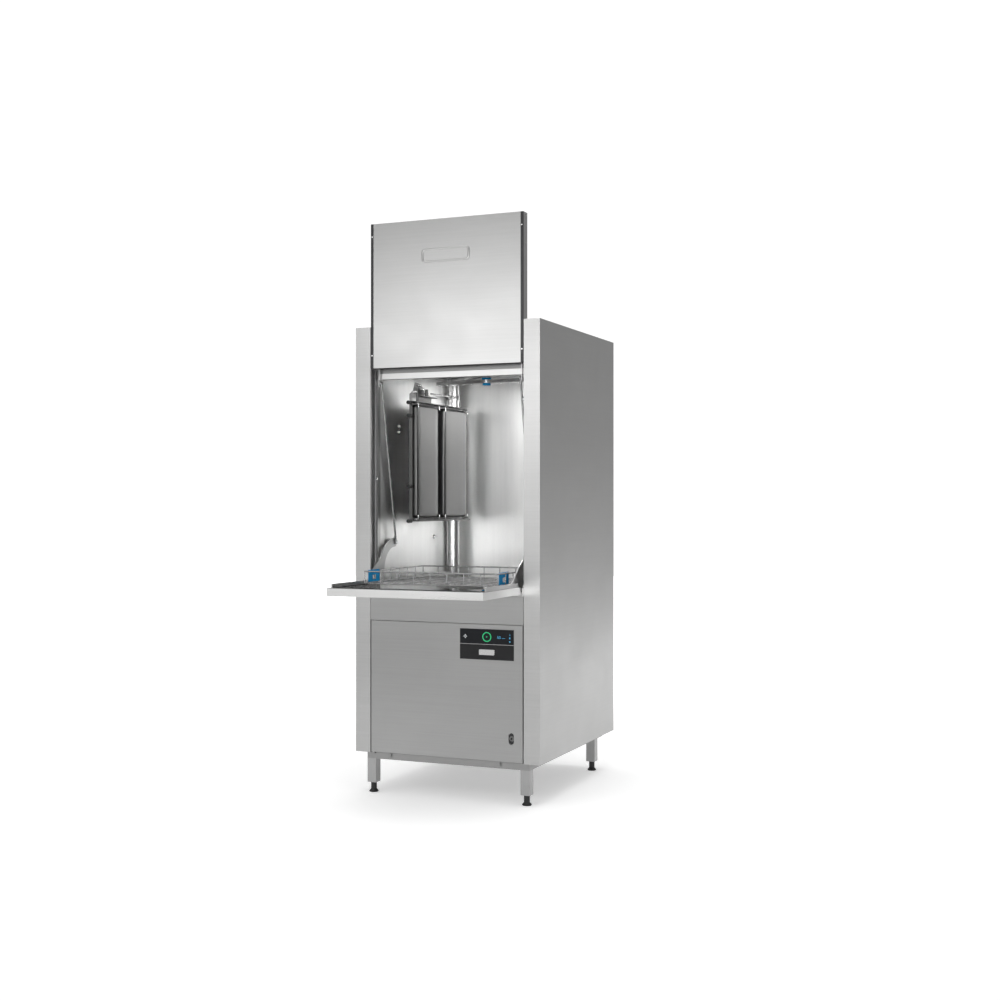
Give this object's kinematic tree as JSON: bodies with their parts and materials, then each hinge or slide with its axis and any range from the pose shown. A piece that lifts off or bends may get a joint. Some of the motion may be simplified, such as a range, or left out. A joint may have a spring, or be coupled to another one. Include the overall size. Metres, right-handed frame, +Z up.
{
  "type": "commercial dishwasher",
  "caption": "Tall free-standing stainless commercial dishwasher with a lift-up upper door, a fold-down lower flap, a roll-out wire rack and a lower service panel with display.",
  "frame": {"origin": "centre of the bounding box in x and y, at floor level", "axes": "+Z up, -Y out of the loading front, +X to the right when facing the front"},
  "size_m": [0.785, 1.24, 2.249],
  "materials": {
    "steel_sheet": "satin brushed",
    "steel_frame": "satin",
    "steel_chamber": "semi-gloss, water marked",
    "steel_tube": "pickled",
    "steel_bright": "bright polished",
    "heater_alloy": "oxidised",
    "black_plastic": "matte",
    "black_rubber": "matte",
    "blue_plastic": "semi-gloss",
    "white_plastic": "matte",
    "pump_plastic": "matte",
    "motor_aluminium": "cast, satin",
    "brass_fitting": "satin",
    "display_glass": "gloss, opaque black",
    "button_plastic": "gloss"
  },
  "bodies": {
    "cabinet": {"chassis_frame": "steel_frame", "legs": "steel_frame", "levelling_feet": "black_plastic", "left_side_panel": "steel_sheet", "right_side_panel": "steel_sheet", "rear_panel": "steel_sheet", "roof_panel": "steel_sheet", "header_panel": "steel_sheet", "apron_panel": "steel_sheet", "chamber_side_walls": "steel_chamber", "chamber_rear_wall": "steel_chamber", "chamber_ceiling": "steel_chamber", "chamber_jambs": "steel_bright", "door_guide_rails": "steel_frame", "hinge_brackets": "steel_frame", "wash_tank": "steel_chamber", "tank_strainers": "steel_chamber", "sump_filter": "steel_chamber", "tank_heater": "heater_alloy", "rack_rails": "steel_frame", "wash_manifold": "steel_tube", "lower_arm_bearing": "blue_plastic", "upper_arm_bearing": "blue_plastic", "wash_pump": "pump_plastic", "wash_pump_motor": "motor_aluminium", "suction_hose": "black_rubber", "rinse_boiler": "steel_chamber", "rinse_pump": "motor_aluminium", "drain_pump": "pump_plastic", "drain_outlet": "pump_plastic", "water_inlet": "brass_fitting", "cable_gland": "black_plastic", "control_box": "steel_sheet", "service_hinge_pins": "steel_bright", "insert_frame": "steel_frame", "insert_trays": "steel_sheet", "insert_caps": "black_rubber"},
    "lower_flap": {"flap_outer_shell": "steel_sheet", "flap_inner_dish": "steel_chamber", "flap_seal": "black_rubber", "flap_levers": "steel_frame", "flap_pins": "steel_bright"},
    "upper_door": {"upper_door_outer_skin": "steel_sheet", "upper_door_inner_skin": "steel_chamber", "door_edge_strips": "black_plastic", "door_side_rails": "steel_frame", "door_glide_blocks": "white_plastic", "door_bottom_seal": "black_rubber"},
    "link_left": {"link_rod_left": "steel_bright"},
    "link_right": {"link_rod_right": "steel_bright"},
    "rack": {"wash_rack": "steel_bright", "rack_clips": "blue_plastic"},
    "upper_arm": {"upper_wash_arm": "steel_tube"},
    "lower_arm": {"lower_wash_arm": "steel_tube"},
    "service_door": {"service_panel": "steel_sheet", "display_housing": "black_plastic", "display_glass": "display_glass"},
    "start_button": {"start_button": "button_plastic"},
    "power_button": {"power_button": "button_plastic"},
    "panel_lock": {"panel_lock": "steel_bright"}
  },
  "joints": [
    {"name": "flap_hinge", "type": "hinge", "parent": "cabinet", "child": "lower_flap", "pos_m": [0, -0.251, 0.81], "axis": [-1, 0, 0], "range_deg": [0, 90]},
    {"name": "door_slide", "type": "slide", "parent": "cabinet", "child": "upper_door", "axis": [0, 0, -1], "range_m": [0, 0.498]},
    {"name": "rack_slide", "type": "slide", "parent": "cabinet", "child": "rack", "axis": [0, 1, 0], "range_m": [0, 0.291]},
    {"name": "link_left_pivot", "type": "hinge", "parent": "lower_flap", "child": "link_left", "pos_m": [-0.2985, -0.095, 0.988], "axis": [1, 0, 0], "range_deg": [0, 90]},
    {"name": "link_right_pivot", "type": "hinge", "parent": "lower_flap", "child": "link_right", "pos_m": [0.2985, -0.095, 0.988], "axis": [1, 0, 0], "range_deg": [0, 90]},
    {"name": "upper_arm_spin", "type": "hinge", "parent": "cabinet", "child": "upper_arm", "pos_m": [0, 0.14, 1.647], "axis": [0, 0, 1], "continuous": true},
    {"name": "lower_arm_spin", "type": "hinge", "parent": "cabinet", "child": "lower_arm", "pos_m": [0, 0.14, 0.798], "axis": [0, 0, 1], "continuous": true},
    {"name": "service_panel_hinge", "type": "hinge", "parent": "cabinet", "child": "service_door", "pos_m": [-0.3165, -0.253, 0.42], "axis": [0, 0, -1], "range_deg": [0, 105]},
    {"name": "panel_lock_turn", "type": "hinge", "parent": "service_door", "child": "panel_lock", "pos_m": [0.276, -0.25, 0.253], "axis": [0, 1, 0], "range_deg": [0, 90]},
    {"name": "start_button_press", "type": "slide", "parent": "service_door", "child": "start_button", "axis": [0, 1, 0], "range_m": [0, 0.002], "stiffness_N_per_m": 900},
    {"name": "power_button_press", "type": "slide", "parent": "service_door", "child": "power_button", "axis": [0, 1, 0], "range_m": [0, 0.0015], "stiffness_N_per_m": 700}
  ],
  "couplings": [
    {"joint": "door_slide", "follows": "flap_hinge", "m_per_rad": 0.317},
    {"joint": "rack_slide", "follows": "flap_hinge", "m_per_rad": 0.185},
    {"joint": "link_left_pivot", "follows": "flap_hinge", "ratio": 1},
    {"joint": "link_right_pivot", "follows": "flap_hinge", "ratio": 1}
  ]
}
